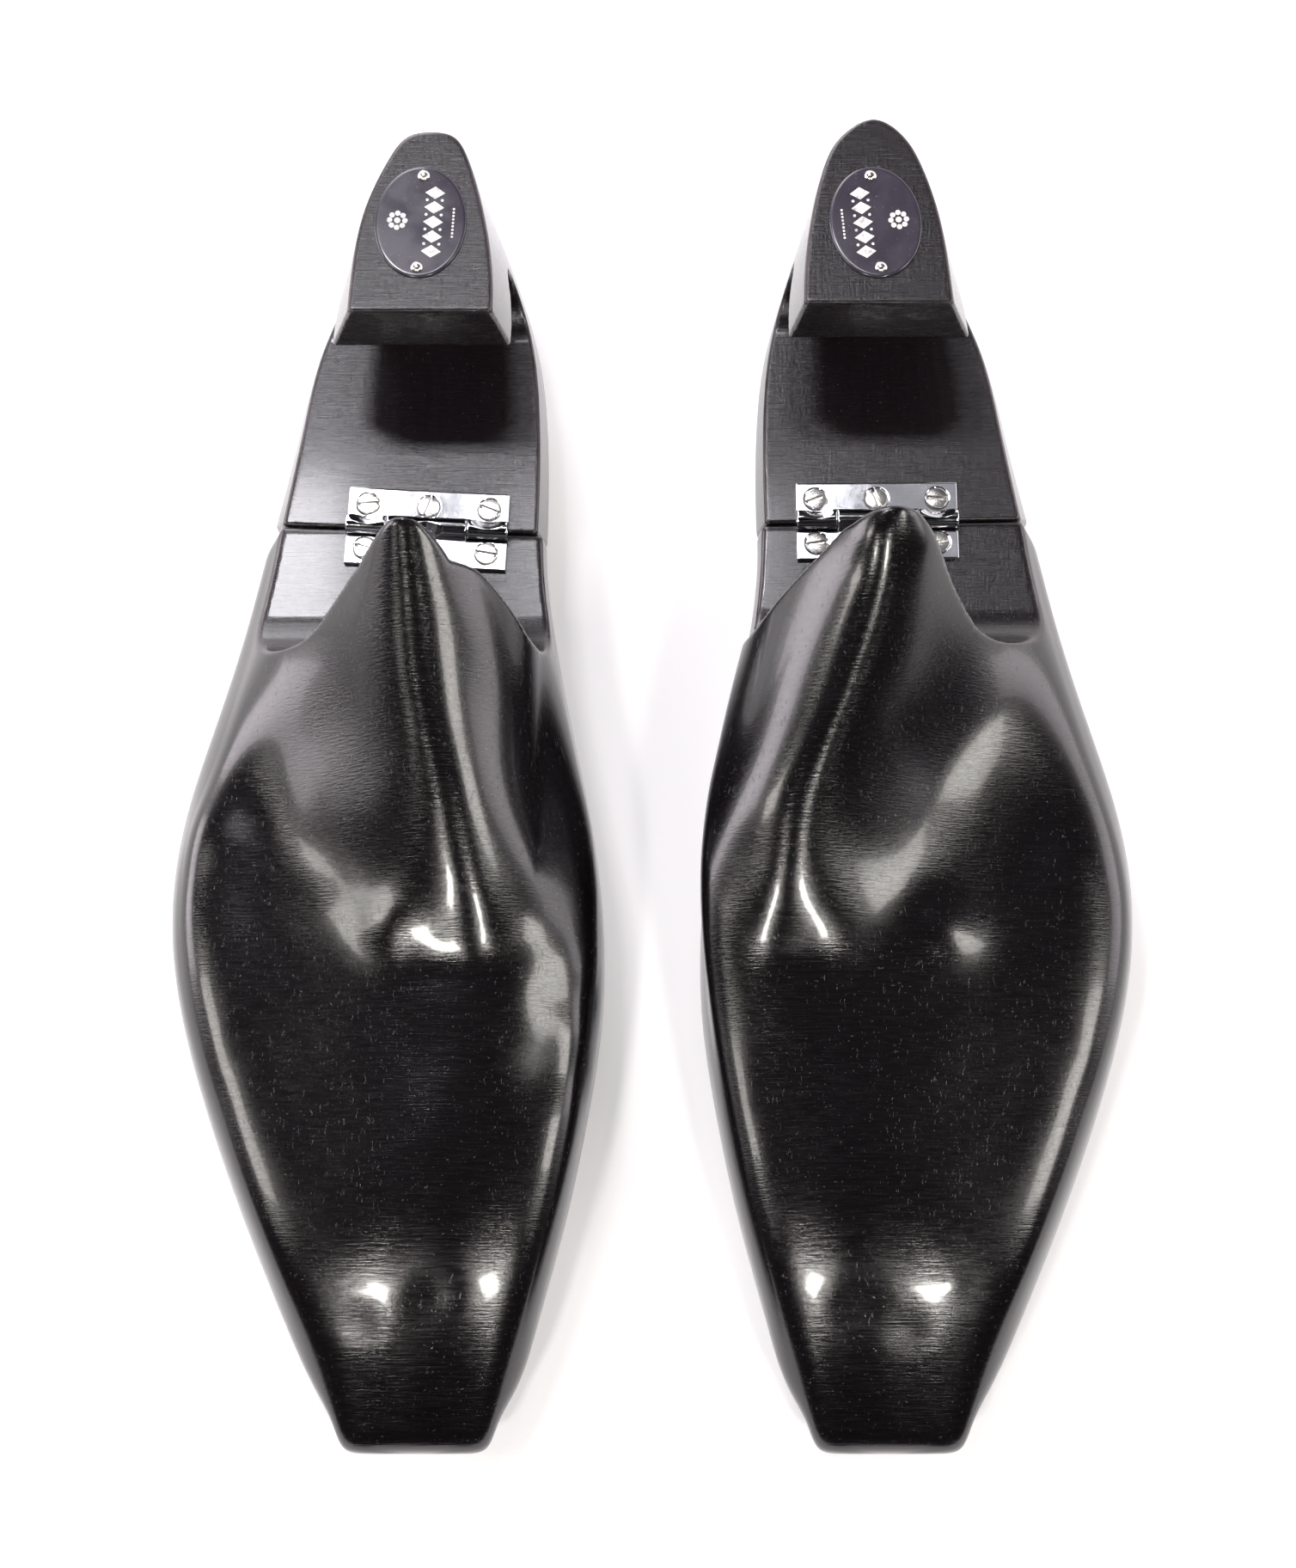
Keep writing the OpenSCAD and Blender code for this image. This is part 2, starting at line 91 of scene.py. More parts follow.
# What differs between the trees. The lean moves the cone's foot across, the nose is its plan at the tip, and
# each dent is (s, y, radius, depth) on the carved top, with a negative depth for a swelling.
SIDES = {
    "right": {
        "name": "right", "sign": -1, "shift": -1,
        "joint_yaw": math.radians(2), "hinge_yaw": math.radians(3),
        "lean": 7, "nose_s": 1.5, "nose_y": 49.6, "nose_r": 7,
        "badge_s": -1.6, "badge_yaw": math.radians(3),
        "dents": [
            (-7, -44, 7, 1.0), (-20, -42, 8, 0.9), (6, -36, 6, -0.7), (10, -123, 5, 0.3),
            (-6, -117, 5, 0.45), (14, -128, 3, -0.15), (17, -22, 10, 0.8), (46, -12, 9, -0.9),
            (-34, -34, 9, 1.3), (-34, -50, 9, 1.8), (-32, -66, 9, 1.5), (-24, -50, 8, -0.4),
        ],
    },
    "left": {
        "name": "left", "sign": 1, "shift": 1,
        "joint_yaw": math.radians(1), "hinge_yaw": math.radians(0.5),
        "lean": -6.5, "nose_s": 1, "nose_y": 51.8, "nose_r": 22,
        "badge_s": -3.6, "badge_yaw": math.radians(5),
        "dents": [
            (-22, -42, 7, 1.0), (12, -36, 8, -1.9), (-8, -46, 8, 0.6), (-9, -119, 5, 0.45),
            (3, -124, 5, 0.35), (12, -114, 3, -0.15), (-30, -20, 8, 0.4), (44, -20, 9, -0.5),
            (-6, 46, 6, -1.2), (8, 45, 6, -1.2),
        ],
    },
}

# Lines along the forepart. Height of the sole: [y, z]
SOLE = np.array([
    [-150, 8], [-130, 6.5], [-105, 4], [-80, 1.2], [-62, -0.7], [-45, -1],
    [-28, -0.3], [-10, 2.2], [10, 5.5], [30, 7.4], [50, 6.5], [68, 3], [84, -0.2], [100, -1],
])
# Edge of the sole: [y, inner s, outer s]
FEATHER = np.array([
    [-150, -14.5, 12.5], [-137, -19.5, 17], [-115, -26, 27], [-99, -30, 33.5], [-76, -34.5, 42],
    [-50, -38.5, 49], [-28, -37.5, 51], [-10, -34, 48.5], [10, -28, 43], [30, -23, 37], [50, -21, 32.5],
    [70, -21.5, 29.5],
])
# Widest line of the walls: [y, inner s, outer s, z]
BULGE = np.array([
    [-150, -17.5, 15.5, 13.5], [-143, -19.7, 17.5, 15], [-137, -23, 20.8, 16.3], [-122, -28.3, 28.2, 17.8],
    [-99, -34.4, 38.1, 18], [-76, -39.2, 46.9, 18], [-52, -42.6, 53.9, 18], [-28, -42.3, 57, 18],
    [-4, -38.9, 54.6, 19], [21, -33.8, 47.6, 20], [38, -30.8, 42.8, 21], [56, -28.8, 38.6, 22],
    [70, -29.2, 35.4, 22],
])
# Top of the steep wall: [y, inner s, inner z, outer s, outer z]
EDGE = np.array([
    [-150, -16.4, 16.4, 14.4, 16.4], [-137, -21.4, 21.5, 19.2, 21.5], [-115, -28.9, 27, 29.3, 26.5],
    [-76, -38.3, 29.5, 45, 28], [-38, -42.2, 30.5, 54.9, 28.5], [-10, -39.8, 31, 53.2, 28.5],
    [10, -35.7, 31, 47.6, 28.5], [30, -31.7, 31, 42, 28.5], [50, -28.9, 30, 37.5, 28.5],
    [70, -28.5, 29, 34, 29],
])
# Shoulder, lower flank and upper flank: [y, inner s, inner z, outer s, outer z]
SHOULDER = np.array([
    [-150, -13.5, 17.9, 11.5, 17.9], [-137, -18, 24, 15.5, 23.8], [-115, -25.5, 31.2, 25.8, 30.6],
    [-76, -35.5, 34.8, 40.5, 32.8], [-38, -40.4, 36.6, 50, 33.6], [-10, -37.8, 38.5, 47.8, 33.8],
    [10, -34.8, 39, 42, 34.4], [30, -31.5, 39, 37.4, 35], [50, -28.6, 36, 34.8, 33.2],
    [70, -27.6, 34, 31.5, 33.5],
])
FLANK = np.array([
    [-150, -9.5, 18.3, 7.5, 18.3], [-137, -12.5, 25, 10, 24.8], [-115, -18, 33.6, 17, 33.1],
    [-76, -28.5, 37.8, 27, 35.8], [-38, -36, 41, 34, 36.6], [-10, -33, 46, 27, 38.4],
    [10, -30, 48.5, 25, 42], [30, -28.5, 50, 25.5, 46.5], [50, -27, 50, 25, 48], [70, -26, 50, 22, 48],
])
UPPER = np.array([
    [-150, -5, 18.5, 3, 18.5], [-137, -7, 25.4, 4.5, 25.3], [-115, -10, 34.8, 6.5, 34.6],
    [-76, -18, 39.8, 10, 38.6], [-55, -24, 41.6, 11, 39.6], [-38, -28, 44.5, 9, 41.2],
    [-25, -27.5, 48.5, 4, 45.2], [-10, -24, 54, 3, 49.6], [10, -19.5, 58.8, 7, 54],
    [30, -15.5, 64.5, 11, 60.5], [50, -10, 72, 10.5, 68.5], [70, -7, 80, 9, 76],
])
# Ridge of the cone: [y, s, z]
RIDGE = np.array([
    [-150, -1, 18.6], [-137, -1.5, 25.6], [-125, -1.8, 31.2], [-115, -2, 35], [-105, -2.5, 37.4],
    [-95, -3.5, 38.9], [-76, -6.5, 40.6], [-55, -13, 42.4], [-40, -17.5, 46], [-25, -17, 52],
    [-10, -13.5, 57.2], [10, -7, 63.2], [30, -2, 69.8], [50, 1, 77.8], [70, 2, 86],
])

# Outlines of the heel block at the seat, the widest level and the top: [s, y]
SEAT_OUTLINE = np.array([
    [-16, 50], [-17.5, 70], [-21, 90], [-22, 107], [-19.5, 122], [-15.5, 134], [-10.5, 142.5],
    [-3.6, 147], [3.5, 142.5], [9.5, 134], [15.5, 122], [21.5, 107], [24.5, 90], [26, 70], [27, 50],
])
WAIST_OUTLINE = np.array([
    [-28.6, 50], [-29.2, 70], [-29, 88], [-27.2, 107], [-23.2, 123], [-18.5, 136], [-12.5, 145],
    [-3.6, 150], [5.5, 145], [12.8, 136], [20, 123], [27.3, 107], [31.6, 88], [35.4, 70], [40, 50],
])
TOP_OUTLINES = {
    "left": np.array([
        [-17, 50], [-18.4, 70], [-19.6, 90], [-19.8, 106], [-17.8, 122], [-14.2, 135.5], [-10.4, 141.3],
        [-3.4, 145], [2.8, 141.3], [6.4, 135.5], [10.7, 122], [13, 106], [14.2, 90], [14, 70], [12, 50],
    ]),
    "right": np.array([
        [-15.5, 50], [-16.5, 70], [-17.6, 90], [-18, 106], [-15.8, 122], [-12.2, 135], [-8.8, 140.6],
        [-3.6, 141.8], [1.8, 140.6], [6, 135], [11.3, 122], [13.8, 106], [14.6, 90], [14, 70], [12, 50],
    ]),
}


# --- Curves ---

def spline(knots, values, at):
    """Natural cubic spline through values (n, k) at knots, evaluated at the given places."""
    n = len(knots)
    h = np.diff(knots)
    system = np.eye(n)
    right = np.zeros_like(values, dtype=float)
    for i in range(1, n - 1):
        system[i, i - 1:i + 2] = [h[i - 1], 2 * (h[i - 1] + h[i]), h[i]]
        right[i] = 6 * ((values[i + 1] - values[i]) / h[i] - (values[i] - values[i - 1]) / h[i - 1])
    bend = np.linalg.solve(system, right)
    at = np.clip(at, knots[0], knots[-1])
    i = np.clip(np.searchsorted(knots, at, side="right") - 1, 0, n - 2)
    a = ((knots[i + 1] - at) / h[i])[:, None]
    b = 1 - a
    step = (h[i] ** 2)[:, None] / 6
    return a * values[i] + b * values[i + 1] + ((a ** 3 - a) * bend[i] + (b ** 3 - b) * bend[i + 1]) * step


def table_at(table, y):
    """All columns but the first of a table, at the places y."""
    return spline(table[:, 0], table[:, 1:], y)


def curve(points, count):
    """Evenly parametrised smooth curve through points, with centripetal spacing."""
    gaps = np.sqrt(np.linalg.norm(np.diff(points, axis=0), axis=1))
    knots = np.concatenate([[0], np.cumsum(gaps)])
    return spline(knots, points, np.linspace(0, knots[-1], count))


# --- Implicit solids: negative inside, about a distance in millimetres near the surface ---

# Steps round a ring of a Polar solid
ANGLES = 720
# How far the visual surface lies under the CAD model's
SKIN = 0.06
# Rise of the sole's edge over its middle, and a height above everything
SOLE_LIFT = 1.5
OPEN_Z = 130
# Where the cone's foot is moved across
LEAN_Y = -15
LEAN_SPREAD = 45
LEAN_LOW_Z = 30
LEAN_HIGH_Z = 44
# Ripples that the carving left, and the heights over which the dents begin
RIPPLE_DEPTH = 0.035
DENT_LOW_Z = 24
DENT_HIGH_Z = 32
# Limit of the nose's plan curve, and the heights over which it ends
NOSE_CURVE_MAX = 110
NOSE_REACH = 10
NOSE_FADE = 20
NOSE_LOW_Z = 42
NOSE_HIGH_Z = 58
# Roundings of the edges
TOE_ROUND = 6
NOSE_ROUND = 2.5
SEAT_ROUND = 0.8
SAW_ROUND = 0.6
JOINT_ROUND = 1.0
HEEL_JOINT_ROUND = 0.9
UNDER_ROUND = 1.5
HEEL_SEAT_ROUND = 1.6
HEEL_EDGE_ROUND = 1.0
RIM_ROUND = 1.4
RIM_EXTRA = 1.4
RIM_LOW_Z = 44
RIM_HIGH_Z = 80


class Polar:
    """Solid given by its radius about a straight or bent centre line, for each step along the line."""

    def __init__(self, steps, centres, rings):
        self.start, self.pitch = steps[0], steps[1] - steps[0]
        self.centres = centres
        angles = np.linspace(-math.pi, math.pi, ANGLES, endpoint=False)
        radius = np.zeros((len(steps), ANGLES))
        for i, ring in enumerate(rings):
            d = ring - centres[i]
            a = np.arctan2(d[:, 1], d[:, 0])
            order = np.argsort(a)
            radius[i] = np.interp(angles, a[order], np.hypot(d[:, 0], d[:, 1])[order], period=2 * math.pi)
        around = (np.roll(radius, -1, axis=1) - np.roll(radius, 1, axis=1)) / (2 * (angles[1] - angles[0]))
        along = np.gradient(radius, self.pitch, axis=0)
        self.radius = radius
        self.scale = 1 / np.sqrt(1 + (around / radius) ** 2 + along ** 2)

    def __call__(self, p, q, t):
        """Field at points with cross coordinates p and q, and place t along the line."""
        f = np.clip((t - self.start) / self.pitch, 0, len(self.radius) - 1.001)
        i = f.astype(int)
        u = f - i
        c = self.centres[i] * (1 - u)[:, None] + self.centres[i + 1] * u[:, None]
        dp, dq = p - c[:, 0], q - c[:, 1]
        g = (np.arctan2(dq, dp) / (2 * math.pi) + 0.5) * ANGLES
        j = g.astype(int)
        v = g - j
        j, k = j % ANGLES, (j + 1) % ANGLES

        def mixed(table):
            low = table[i, j] * (1 - v) + table[i, k] * v
            high = table[i + 1, j] * (1 - v) + table[i + 1, k] * v
            return low * (1 - u) + high * u

        return (np.hypot(dp, dq) - mixed(self.radius)) * mixed(self.scale)


def forepart_solid():
    """Carved body from the toe to the hinge, not yet cut."""
    y = np.arange(-154, 72.1, 0.5)
    sole = table_at(SOLE, y)[:, 0]
    feather, bulge, ridge = (table_at(t, y) for t in (FEATHER, BULGE, RIDGE))
    edge, shoulder, flank, upper = (table_at(t, y) for t in (EDGE, SHOULDER, FLANK, UPPER))
    middle_z = np.interp(y, [-150, -115], [13.5, 19.5])
    centres = np.stack([0.5 * (bulge[:, 0] + bulge[:, 1]) - 1, middle_z], axis=1)
    rings = []
    for i in range(len(y)):
        lift = sole[i] + SOLE_LIFT
        top = curve(np.array([
            [feather[i, 0], lift], [bulge[i, 0], bulge[i, 2]], edge[i, :2], shoulder[i, :2], flank[i, :2],
            upper[i, :2], ridge[i], upper[i, 2:], flank[i, 2:], shoulder[i, 2:], edge[i, 2:],
            [bulge[i, 1], bulge[i, 2]], [feather[i, 1], lift],
        ]), 300)
        u = np.linspace(0, 1, 60)[1:-1]
        under_s = top[-1, 0] + (top[0, 0] - top[-1, 0]) * u
        under = np.stack([under_s, sole[i] + SOLE_LIFT * (2 * u - 1) ** 2], axis=1)
        rings.append(np.concatenate([top, under]))
    return Polar(y, centres, rings)


def heel_solid(top_outline):
    """Carved heel, not yet cut, as level outlines about a vertical line."""
    z = np.arange(-2, TOP_Z + 2.1, 0.5)
    centres = np.tile([0.0, 97.0], (len(z), 1))
    rings = []
    for level in z:
        if level < WAIST_Z:
            share = (1 - min(1, 1 - max(level, 0) / WAIST_Z) ** 1.6) ** 0.8
            outline = SEAT_OUTLINE + (WAIST_OUTLINE - SEAT_OUTLINE) * share
        else:
            rise = (level - WAIST_Z) / (TOP_Z - WAIST_Z)
            share = rise * (0.82 + 0.36 * rise - 0.18 * rise * rise)
            outline = WAIST_OUTLINE + (top_outline - WAIST_OUTLINE) * share
        ring = curve(outline, 400)
        u = np.linspace(0, 1, 60)[1:-1, None]
        rings.append(np.concatenate([ring, ring[-1] + (ring[0] - ring[-1]) * u]))
    return Polar(z, centres, rings)


def cutout_outline():
    """Closed side profile of the hand cut-out, in y and z."""
    front, rear = np.array([SCOOP_FRONT_Y, FLOOR_Z + SCOOP_R]), np.array([SCOOP_REAR_Y, FLOOR_Z + SCOOP_R])
    cone_a, lip_a = math.pi / 2 + CONE_SLOPE, math.pi / 2 - LIP_SLOPE
    rear_a = np.linspace(-math.pi / 2, lip_a, 90)
    front_a = np.linspace(cone_a, 1.5 * math.pi, 70)
    rear_arc = rear + SCOOP_R * np.stack([np.cos(rear_a), np.sin(rear_a)], axis=1)
    front_arc = front + SCOOP_R * np.stack([np.cos(front_a), np.sin(front_a)], axis=1)
    lip_z = rear_arc[-1, 1] + (rear_arc[-1, 0] - LIP_Y) * math.tan(LIP_SLOPE)
    nose_z = front_arc[0, 1] + (NOSE_Y - front_arc[0, 0]) * math.tan(CONE_SLOPE)
    open_top = [[LIP_Y, lip_z], [LIP_Y + 1, OPEN_Z], [NOSE_Y, OPEN_Z], [NOSE_Y, nose_z]]
    return np.concatenate([rear_arc, open_top, front_arc])


class Profile:
    """Signed distance to a closed outline, kept on a fine grid; negative inside."""

    def __init__(self, outline, low, high, pitch=0.25):
        self.low, self.pitch = np.array(low, float), pitch
        axes = [np.arange(low[k], high[k] + pitch, pitch) for k in (0, 1)]
        gy, gz = np.meshgrid(*axes, indexing="ij")
        best = np.full(gy.shape, 1e9)
        inside = np.zeros(gy.shape, bool)
        for a, b in zip(outline, np.roll(outline, -1, axis=0)):
            d = b - a
            t = np.clip(((gy - a[0]) * d[0] + (gz - a[1]) * d[1]) / max(d @ d, 1e-12), 0, 1)
            best = np.minimum(best, np.hypot(gy - a[0] - t * d[0], gz - a[1] - t * d[1]))
            if a[1] != b[1]:
                crosses = (a[1] > gz) != (b[1] > gz)
                inside ^= crosses & (gy < a[0] + (gz - a[1]) / (b[1] - a[1]) * d[0])
        self.grid = np.where(inside, -best, best)

    def __call__(self, y, z):
        f = np.clip((y - self.low[0]) / self.pitch, 0, self.grid.shape[0] - 1.001)
        g = np.clip((z - self.low[1]) / self.pitch, 0, self.grid.shape[1] - 1.001)
        i, j = f.astype(int), g.astype(int)
        u, v = f - i, g - j
        low = self.grid[i, j] * (1 - v) + self.grid[i, j + 1] * v
        high = self.grid[i + 1, j] * (1 - v) + self.grid[i + 1, j + 1] * v
        return low * (1 - u) + high * u


def meet(a, b, k):
    """Intersection of two solids with the edge between them rounded over about k millimetres."""
    h = np.maximum(k - np.abs(a - b), 0) / k
    return np.maximum(a, b) + h ** 3 * k / 6


def ramp(x, low, high):
    """Smooth step from 0 at low to 1 at high; low may be the greater."""
    t = np.clip((x - low) / (high - low), 0, 1)
    return t * t * (3 - 2 * t)


FOREPART = forepart_solid()
HEELS = {name: heel_solid(outline) for name, outline in TOP_OUTLINES.items()}
CUTOUT = Profile(cutout_outline(), (20, 22), (135, 100))


def joint_plane(side, s, y):
    """Distance in front of (negative) or behind the middle of the saw cut."""
    yaw = side["joint_yaw"]
    return (y - HINGE_Y - side["shift"]) * math.cos(yaw) - s * math.sin(yaw)


def notch(side, s, y):
    """V notches at both ends of the saw cut; negative inside."""
    across = joint_plane(side, s, y)
    first, last = ((np.abs(s - end) + np.abs(across) - NOTCH_REACH) / math.sqrt(2) for end in NOTCH_S)
    return np.minimum(first, last)


def dents(side, s, y, z):
    """Shallow hollows (+) and swellings (-) that the carving left in the top."""
    total = np.zeros_like(s)
    for at_s, at_y, radius, depth in side["dents"]:
        total += depth * np.exp(-((s - at_s) ** 2 + (y - at_y) ** 2) / radius ** 2)
    across = np.sin(s / 3.3 + 0.8 * np.sin(y / 9))
    along = np.sin(y / 4.6 + 1.1 * np.sin(s / 7))
    ripple = across * along + np.sin((s + y) / 6.1)
    return (total + RIPPLE_DEPTH * ripple) * ramp(z, DENT_LOW_Z, DENT_HIGH_Z)


def forepart_field(side, p):
    """(carved surface, cut surfaces, whole) at points p of a forepart."""
    s, y, z = p[:, 0], p[:, 1], p[:, 2]
    lean = side["lean"] * np.exp(-((y - LEAN_Y) / LEAN_SPREAD) ** 2) * ramp(z, LEAN_LOW_Z, LEAN_HIGH_Z)
    carved = FOREPART(s - lean, z, y) + SKIN + dents(side, s, y, z)
    carved = meet(carved, TOE_Y - y, TOE_ROUND)
    nose_curve = np.minimum((s - side["nose_s"]) ** 2, NOSE_CURVE_MAX) / (2 * side["nose_r"])
    nose = np.minimum(y - side["nose_y"] + nose_curve, NOSE_REACH)
    carved = meet(carved, nose - NOSE_FADE * ramp(z, NOSE_HIGH_Z, NOSE_LOW_Z), NOSE_ROUND)
    cut = -CUTOUT(y - side["shift"], z)
    sawn = meet(joint_plane(side, s, y) + JOINT_GAP / 2, -notch(side, s, y), SAW_ROUND)
    rim = RIM_ROUND + RIM_EXTRA * ramp(z, RIM_LOW_Z, RIM_HIGH_Z)
    whole = meet(meet(carved, -z, SEAT_ROUND), cut, rim)
    return carved, np.maximum(cut, sawn), meet(whole, sawn, JOINT_ROUND)


def heel_field(side, p):
    """(carved surface, cut surfaces, whole) at points p of a heel block."""
    s, y, z = p[:, 0], p[:, 1], p[:, 2]
    carved = HEELS[side["name"]](s, y, z) + SKIN
    arch = table_at(SOLE, y)[:, 0] - z
    under = meet(-z, arch, UNDER_ROUND)
    cutout = -CUTOUT(y - side["shift"], z)
    sawn = meet(JOINT_GAP / 2 - joint_plane(side, s, y), -notch(side, s, y), SAW_ROUND)
    shell = meet(carved, under, HEEL_SEAT_ROUND)
    whole = meet(shell, meet(cutout, z - TOP_Z, HEEL_EDGE_ROUND), HEEL_EDGE_ROUND)
    cut = np.maximum(cutout, z - TOP_Z)
    return carved, np.maximum(cut, sawn), meet(whole, sawn, HEEL_JOINT_ROUND)


# --- Surface of an implicit solid as a mesh ---

def in_chunks(field, points, size=400_000):
    """The field at many points, a part at a time to spare memory."""
    return np.concatenate([field(points[i:i + size]) for i in range(0, len(points), size)])


def slope_of(field, points, step=0.05):
    """Gradient of the field by central differences."""
    grad = np.empty_like(points)
    for k in range(3):
        offset = np.zeros(3)
        offset[k] = step
        grad[:, k] = (in_chunks(field, points + offset) - in_chunks(field, points - offset)) / (2 * step)
    return grad


def drop_to_surface(field, points, voxel):
    """Points moved onto the zero surface by one Newton step, at most a voxel long."""
    grad = slope_of(field, points)
    length = np.maximum((grad ** 2).sum(axis=1), 0.05)
    move = -grad * (in_chunks(field, points) / length)[:, None]
    reach = np.linalg.norm(move, axis=1)
    return points + move * np.minimum(1, voxel / np.maximum(reach, 1e-9))[:, None]


def surface(field, low, high, voxel):
    """Vertices and quads of the field's zero surface, evened out and laid on it."""
    axes = [np.arange(low[k], high[k] + voxel, voxel) for k in range(3)]
    grid = np.stack(np.meshgrid(*axes, indexing="ij"), axis=-1)
    shape = grid.shape[:3]
    values = in_chunks(field, grid.reshape(-1, 3)).reshape(shape)
    inside = values < 0
    corners = sum(
        inside[i:shape[0] - 1 + i, j:shape[1] - 1 + j, k:shape[2] - 1 + k].astype(np.int8)
        for i in (0, 1) for j in (0, 1) for k in (0, 1)
    )
    active = (corners > 0) & (corners < 8)
    index = np.full(active.shape, -1)
    index[active] = np.arange(active.sum())
    points = (np.argwhere(active) + 0.5) * voxel + np.array(low)
    quads = []
    for axis in range(3):
        b, c = (axis + 1) % 3, (axis + 2) % 3
        here = np.take(inside, range(shape[axis] - 1), axis)
        there = np.take(inside, range(1, shape[axis]), axis)
        for crossing, outward in ((here & ~there, True), (~here & there, False)):
            cells = np.argwhere(crossing)
            cells = cells[(cells[:, b] > 0) & (cells[:, c] > 0)]
            cells = cells[(cells[:, b] < shape[b] - 1) & (cells[:, c] < shape[c] - 1)]
            around = []
            for db, dc in ((1, 1), (0, 1), (0, 0), (1, 0)):
                cell = cells.copy()
                cell[:, b] -= db
                cell[:, c] -= dc
                around.append(index[cell[:, 0], cell[:, 1], cell[:, 2]])
            quad = np.stack(around, axis=1)
            quads.append(quad if outward else quad[:, ::-1])
    quads = np.concatenate(quads)
    points = drop_to_surface(field, points, voxel)
    edges = np.concatenate([quads[:, [k, (k + 1) % 4]] for k in range(4)])
    count = np.bincount(edges[:, 0], minlength=len(points))[:, None]
    for _ in range(3):
        total = np.zeros_like(points)
        for k in range(3):
            total[:, k] = np.bincount(edges[:, 0], weights=points[edges[:, 1], k], minlength=len(points))
        points = drop_to_surface(field, 0.4 * points + 0.6 * total / np.maximum(count, 1), voxel)
    return drop_to_surface(field, points, voxel), quads


# --- Scene helpers ---

def put(name, points, faces, body, materials, smooth=True):
    """A mesh piece in the row frame from points in millimetres, riding on a body."""
    mesh = bpy.data.meshes.new(name)
    mesh.from_pydata((np.asarray(points) * MM).tolist(), [], [tuple(map(int, face)) for face in faces])
    mesh.validate()
    mesh.polygons.foreach_set("use_smooth", [smooth] * len(mesh.polygons))
    for m in materials:
        mesh.materials.append(m)
    piece = bpy.data.objects.new(name, mesh)
    bpy.context.scene.collection.objects.link(piece)
    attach(piece, body)
    return piece


def add_values(piece, **values):
    """Float attributes on the piece's vertices, for its material."""
    for name, numbers in values.items():
        layer = piece.data.attributes.new(name, "FLOAT", "POINT")
        layer.data.foreach_set("value", np.asarray(numbers, dtype=np.float32))


class Nodes:
    """Short way to write a material's node tree."""

    def __init__(self, name):
        self.material = bpy.data.materials.new(name)
        self.material.use_nodes = True
        self.tree = self.material.node_tree
        self.tree.nodes.clear()
        self.out = self.tree.nodes.new("ShaderNodeOutputMaterial")
        self.shader = self.tree.nodes.new("ShaderNodeBsdfPrincipled")
        self.tree.links.new(self.shader.outputs[0], self.out.inputs["Surface"])

    def add(self, kind, values=None, **settings):
        node = self.tree.nodes.new(kind)
        for key, value in settings.items():
            setattr(node, key, value)
        for key, value in (values or {}).items():
            self.feed(node.inputs[key], value)
        return node

    def feed(self, socket, value):
        if isinstance(value, bpy.types.NodeSocket):
            self.tree.links.new(value, socket)
        else:
            socket.default_value = value

    def math(self, operation, a, b=0.0, clamp=False):
        node = self.add("ShaderNodeMath", {0: a, 1: b}, operation=operation, use_clamp=clamp)
        return node.outputs[0]

    def place(self, scale):
        """Object coordinates in metres, stretched by a scale for each axis."""
        coordinates = self.add("ShaderNodeTexCoord").outputs["Object"]
        return self.add("ShaderNodeMapping", {"Vector": coordinates, "Scale": scale}).outputs[0]

    def noise(self, scale, detail=3.0, rough=0.5, at=(1, 1, 1)):
        values = {"Vector": self.place(at), "Scale": scale, "Detail": detail, "Roughness": rough}
        return self.add("ShaderNodeTexNoise", values).outputs["Fac"]

    def band(self, value, low, high, to_low=0.0, to_high=1.0):
        values = {"Value": value, "From Min": low, "From Max": high, "To Min": to_low, "To Max": to_high}
        return self.add("ShaderNodeMapRange", values, interpolation_type="SMOOTHSTEP").outputs[0]

    def mix(self, share, a, b):
        node = self.add("ShaderNodeMix", data_type="RGBA")
        for socket, value in zip((node.inputs[0], node.inputs[6], node.inputs[7]), (share, a, b)):
            self.feed(socket, value)
        return node.outputs[2]

    def attribute(self, name):
        return self.add("ShaderNodeAttribute", attribute_name=name).outputs["Fac"]

    def bump(self, height, strength, distance, normal=None):
        values = {"Height": height, "Strength": strength, "Distance": distance}
        if normal:
            values["Normal"] = normal
        return self.add("ShaderNodeBump", values).outputs[0]

    def set(self, **values):
        for key, value in values.items():
            self.feed(self.shader.inputs[key.replace("_", " ")], value)
        return self.material


def rgb(r, g, b):
    return (r, g, b, 1.0)


